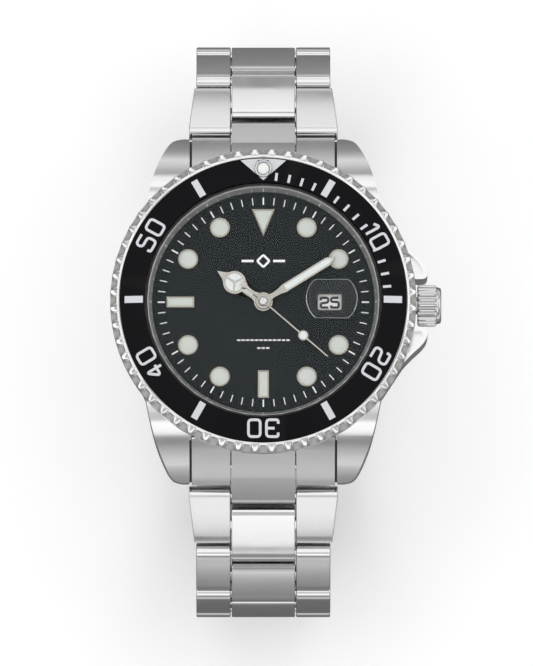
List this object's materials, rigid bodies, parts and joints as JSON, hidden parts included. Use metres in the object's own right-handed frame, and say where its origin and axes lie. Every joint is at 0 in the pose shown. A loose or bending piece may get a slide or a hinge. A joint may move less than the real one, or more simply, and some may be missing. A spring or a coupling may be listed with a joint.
{
  "type": "dive watch",
  "caption": "Steel dive watch with a turning timing bezel, date magnifier, quartz movement and folding link bracelet.",
  "frame": {"origin": "on the dial's axis, at the flat underside of the closed clasp, which the watch stands on", "axes": "+X to 3 o'clock (the crown), +Y to 12 o'clock, +Z out of the dial"},
  "size_m": [0.0458, 0.0802, 0.0568],
  "materials": {
    "brushed_steel": "fine lengthwise brushing",
    "polished_steel": "mirror polished steel",
    "crystal": "clear mineral glass",
    "insert": "glossy black anodised aluminium",
    "pip": "pale lume bead in a steel ring",
    "dial": "satin charcoal with applied markers",
    "hands": "polished silver with white lume",
    "brass": "plain machined brass",
    "copper": "enamelled copper wire",
    "rubber": "matt black rubber",
    "holder": "moulded nylon",
    "board": "green solder mask",
    "date": "white print ground"
  },
  "bodies": {
    "head": {"mid_case": "brushed_steel", "caseback": "brushed_steel", "caseback_gasket": "rubber", "crown_tube": "polished_steel", "bezel_click_spring": "brushed_steel", "crystal": "crystal", "date_magnifier": "crystal", "crystal_gasket": "rubber", "dial_ring": "polished_steel", "dial": "dial", "movement_holder": "holder", "main_plate": "brass", "train_bridge": "brass", "battery": "brushed_steel", "circuit_board": "board", "coil": "copper", "stator": "brushed_steel", "spring_bar_12": "brushed_steel", "spring_bar_6": "brushed_steel", "end_link_12": "brushed_steel", "end_link_6": "brushed_steel"},
    "bezel": {"bezel_ring": "polished_steel", "bezel_insert": "insert", "bezel_pip": "pip"},
    "setting_pinion": {"setting_pinion": "brushed_steel"},
    "crown": {"crown": "polished_steel", "stem": "brushed_steel"},
    "setting_lever": {"setting_lever": "brushed_steel"},
    "seconds": {"second_hand": "hands", "seconds_wheel": "brass"},
    "minutes": {"minute_hand": "hands", "centre_wheel": "brass"},
    "hours": {"hour_hand": "hands", "hour_wheel": "brass"},
    "third_wheel": {"third_wheel": "brass"},
    "intermediate_wheel": {"intermediate_wheel": "brass"},
    "rotor": {"rotor": "brushed_steel"},
    "minute_wheel": {"minute_wheel": "brass"},
    "date_wheel": {"date_wheel": "brass"},
    "date_disc": {"date_disc": "date"},
    "link_12_1": {"link_12_1": "brushed_steel"},
    "link_12_2": {"link_12_2": "brushed_steel"},
    "link_12_3": {"link_12_3": "brushed_steel"},
    "link_12_4": {"link_12_4": "brushed_steel"},
    "link_12_5": {"link_12_5": "brushed_steel"},
    "link_12_6": {"link_12_6": "brushed_steel"},
    "link_12_7": {"link_12_7": "brushed_steel"},
    "link_6_1": {"link_6_1": "brushed_steel"},
    "link_6_2": {"link_6_2": "brushed_steel"},
    "link_6_3": {"link_6_3": "brushed_steel"},
    "link_6_4": {"link_6_4": "brushed_steel"},
    "link_6_5": {"link_6_5": "brushed_steel"},
    "link_6_6": {"link_6_6": "brushed_steel"},
    "link_6_7": {"link_6_7": "brushed_steel"},
    "clasp_cover": {"clasp_cover": "brushed_steel"},
    "clasp_blade_long": {"clasp_blade_long": "polished_steel"},
    "clasp_blade_short": {"clasp_blade_short": "polished_steel"},
    "safety_catch": {"safety_catch": "brushed_steel"}
  },
  "joints": [
    {"name": "bezel_turn", "type": "hinge", "parent": "head", "child": "bezel", "pos_m": [0, 0, 0.05302], "axis": [0, 0, -1], "continuous": true},
    {"name": "crown_turn", "type": "hinge", "parent": "head", "child": "setting_pinion", "pos_m": [0.0082, 0, 0.04962], "axis": [1, 0, 0], "continuous": true},
    {"name": "crown_pull", "type": "slide", "parent": "setting_pinion", "child": "crown", "axis": [1, 0, 0], "range_m": [0, 0.0015]},
    {"name": "lever_swing", "type": "hinge", "parent": "head", "child": "setting_lever", "pos_m": [0.0099, -0.0024, 0.04892], "axis": [0, 0, -1], "range_deg": [0, 30.1]},
    {"name": "second_hand_turn", "type": "hinge", "parent": "head", "child": "seconds", "pos_m": [0, 0, 0.05302], "axis": [0, 0, -1], "continuous": true},
    {"name": "minute_hand_turn", "type": "hinge", "parent": "head", "child": "minutes", "pos_m": [0, 0, 0.05302], "axis": [0, 0, -1], "continuous": true},
    {"name": "hour_hand_turn", "type": "hinge", "parent": "head", "child": "hours", "pos_m": [0, 0, 0.05302], "axis": [0, 0, -1], "continuous": true},
    {"name": "third_wheel_turn", "type": "hinge", "parent": "head", "child": "third_wheel", "pos_m": [-0.00398, 0.0023, 0.05302], "axis": [0, 0, -1], "continuous": true},
    {"name": "intermediate_wheel_turn", "type": "hinge", "parent": "head", "child": "intermediate_wheel", "pos_m": [0.00189, 0.00327, 0.05302], "axis": [0, 0, -1], "continuous": true},
    {"name": "rotor_turn", "type": "hinge", "parent": "head", "child": "rotor", "pos_m": [0.00133, 0.00646, 0.05302], "axis": [0, 0, -1], "continuous": true},
    {"name": "minute_wheel_turn", "type": "hinge", "parent": "head", "child": "minute_wheel", "pos_m": [0, -0.0032, 0.05302], "axis": [0, 0, -1], "continuous": true},
    {"name": "date_wheel_turn", "type": "hinge", "parent": "head", "child": "date_wheel", "pos_m": [0.00393, 0.00275, 0.05302], "axis": [0, 0, -1], "continuous": true},
    {"name": "date_disc_turn", "type": "hinge", "parent": "head", "child": "date_disc", "pos_m": [0, 0, 0.05302], "axis": [0, 0, -1], "continuous": true},
    {"name": "bracelet_12_hinge_1", "type": "hinge", "parent": "head", "child": "link_12_1", "pos_m": [0, 0.0255, 0.04262], "axis": [1, 0, 0], "range_deg": [0, 20]},
    {"name": "bracelet_12_hinge_2", "type": "hinge", "parent": "link_12_1", "child": "link_12_2", "pos_m": [0, 0.03296, 0.03898], "axis": [1, 0, 0], "range_deg": [0, 30.01]},
    {"name": "bracelet_12_hinge_3", "type": "hinge", "parent": "link_12_2", "child": "link_12_3", "pos_m": [0, 0.0376, 0.0321], "axis": [1, 0, 0], "range_deg": [0, 26.01]},
    {"name": "bracelet_12_hinge_4", "type": "hinge", "parent": "link_12_3", "child": "link_12_4", "pos_m": [0, 0.03876, 0.02388], "axis": [1, 0, 0], "range_deg": [0, 22.01]},
    {"name": "bracelet_12_hinge_5", "type": "hinge", "parent": "link_12_4", "child": "link_12_5", "pos_m": [0, 0.03675, 0.01583], "axis": [1, 0, 0], "range_deg": [0, 23.01]},
    {"name": "bracelet_12_hinge_6", "type": "hinge", "parent": "link_12_5", "child": "link_12_6", "pos_m": [0, 0.03175, 0.0092], "axis": [1, 0, 0], "range_deg": [0, 22.01]},
    {"name": "bracelet_12_hinge_7", "type": "hinge", "parent": "link_12_6", "child": "link_12_7", "pos_m": [0, 0.02464, 0.00493], "axis": [1, 0, 0], "range_deg": [0, 19.01]},
    {"name": "bracelet_6_hinge_1", "type": "hinge", "parent": "head", "child": "link_6_1", "pos_m": [0, -0.0255, 0.04262], "axis": [-1, 0, 0], "range_deg": [0, 20]},
    {"name": "bracelet_6_hinge_2", "type": "hinge", "parent": "link_6_1", "child": "link_6_2", "pos_m": [0, -0.03296, 0.03898], "axis": [-1, 0, 0], "range_deg": [0, 30.01]},
    {"name": "bracelet_6_hinge_3", "type": "hinge", "parent": "link_6_2", "child": "link_6_3", "pos_m": [0, -0.0376, 0.0321], "axis": [-1, 0, 0], "range_deg": [0, 26.01]},
    {"name": "bracelet_6_hinge_4", "type": "hinge", "parent": "link_6_3", "child": "link_6_4", "pos_m": [0, -0.03876, 0.02388], "axis": [-1, 0, 0], "range_deg": [0, 22.01]},
    {"name": "bracelet_6_hinge_5", "type": "hinge", "parent": "link_6_4", "child": "link_6_5", "pos_m": [0, -0.03675, 0.01583], "axis": [-1, 0, 0], "range_deg": [0, 23.01]},
    {"name": "bracelet_6_hinge_6", "type": "hinge", "parent": "link_6_5", "child": "link_6_6", "pos_m": [0, -0.03175, 0.0092], "axis": [-1, 0, 0], "range_deg": [0, 22.01]},
    {"name": "bracelet_6_hinge_7", "type": "hinge", "parent": "link_6_6", "child": "link_6_7", "pos_m": [0, -0.02464, 0.00493], "axis": [-1, 0, 0], "range_deg": [0, 19.01]},
    {"name": "clasp_hinge", "type": "hinge", "parent": "link_12_7", "child": "clasp_cover", "pos_m": [0, 0.01652, 0.0032], "axis": [1, 0, 0], "range_deg": [0, 12.01]},
    {"name": "clasp_blade_long_fold", "type": "hinge", "parent": "clasp_cover", "child": "clasp_blade_long", "pos_m": [0, -0.0136, 0.0027], "axis": [1, 0, 0], "range_deg": [0, 90]},
    {"name": "clasp_blade_short_fold", "type": "hinge", "parent": "clasp_blade_long", "child": "clasp_blade_short", "pos_m": [0, 0.0095, 0.0033], "axis": [-1, 0, 0], "range_deg": [0, 120]},
    {"name": "safety_catch_flip", "type": "hinge", "parent": "clasp_cover", "child": "safety_catch", "pos_m": [0, -0.0164, 0.0025], "axis": [-1, 0, 0], "range_deg": [0, 90]}
  ],
  "couplings": [
    {"joint": "lever_swing", "follows": "crown_pull", "rad_per_m": 349.07},
    {"joint": "minute_hand_turn", "follows": "second_hand_turn", "ratio": 0.016667},
    {"joint": "hour_hand_turn", "follows": "second_hand_turn", "ratio": 0.0013889},
    {"joint": "third_wheel_turn", "follows": "second_hand_turn", "ratio": -0.13333},
    {"joint": "intermediate_wheel_turn", "follows": "second_hand_turn", "ratio": -6},
    {"joint": "rotor_turn", "follows": "second_hand_turn", "ratio": 30},
    {"joint": "minute_wheel_turn", "follows": "second_hand_turn", "ratio": -0.0055556},
    {"joint": "date_wheel_turn", "follows": "second_hand_turn", "ratio": -0.00069444},
    {"joint": "date_disc_turn", "follows": "second_hand_turn", "ratio": -0.000022401},
    {"joint": "bracelet_12_hinge_2", "follows": "bracelet_12_hinge_1", "ratio": 1.5},
    {"joint": "bracelet_12_hinge_3", "follows": "bracelet_12_hinge_1", "ratio": 1.3},
    {"joint": "bracelet_12_hinge_4", "follows": "bracelet_12_hinge_1", "ratio": 1.1},
    {"joint": "bracelet_12_hinge_5", "follows": "bracelet_12_hinge_1", "ratio": 1.15},
    {"joint": "bracelet_12_hinge_6", "follows": "bracelet_12_hinge_1", "ratio": 1.1},
    {"joint": "bracelet_12_hinge_7", "follows": "bracelet_12_hinge_1", "ratio": 0.95},
    {"joint": "bracelet_6_hinge_2", "follows": "bracelet_6_hinge_1", "ratio": 1.5},
    {"joint": "bracelet_6_hinge_3", "follows": "bracelet_6_hinge_1", "ratio": 1.3},
    {"joint": "bracelet_6_hinge_4", "follows": "bracelet_6_hinge_1", "ratio": 1.1},
    {"joint": "bracelet_6_hinge_5", "follows": "bracelet_6_hinge_1", "ratio": 1.15},
    {"joint": "bracelet_6_hinge_6", "follows": "bracelet_6_hinge_1", "ratio": 1.1},
    {"joint": "bracelet_6_hinge_7", "follows": "bracelet_6_hinge_1", "ratio": 0.95},
    {"joint": "clasp_hinge", "follows": "bracelet_12_hinge_1", "ratio": 0.6}
  ]
}
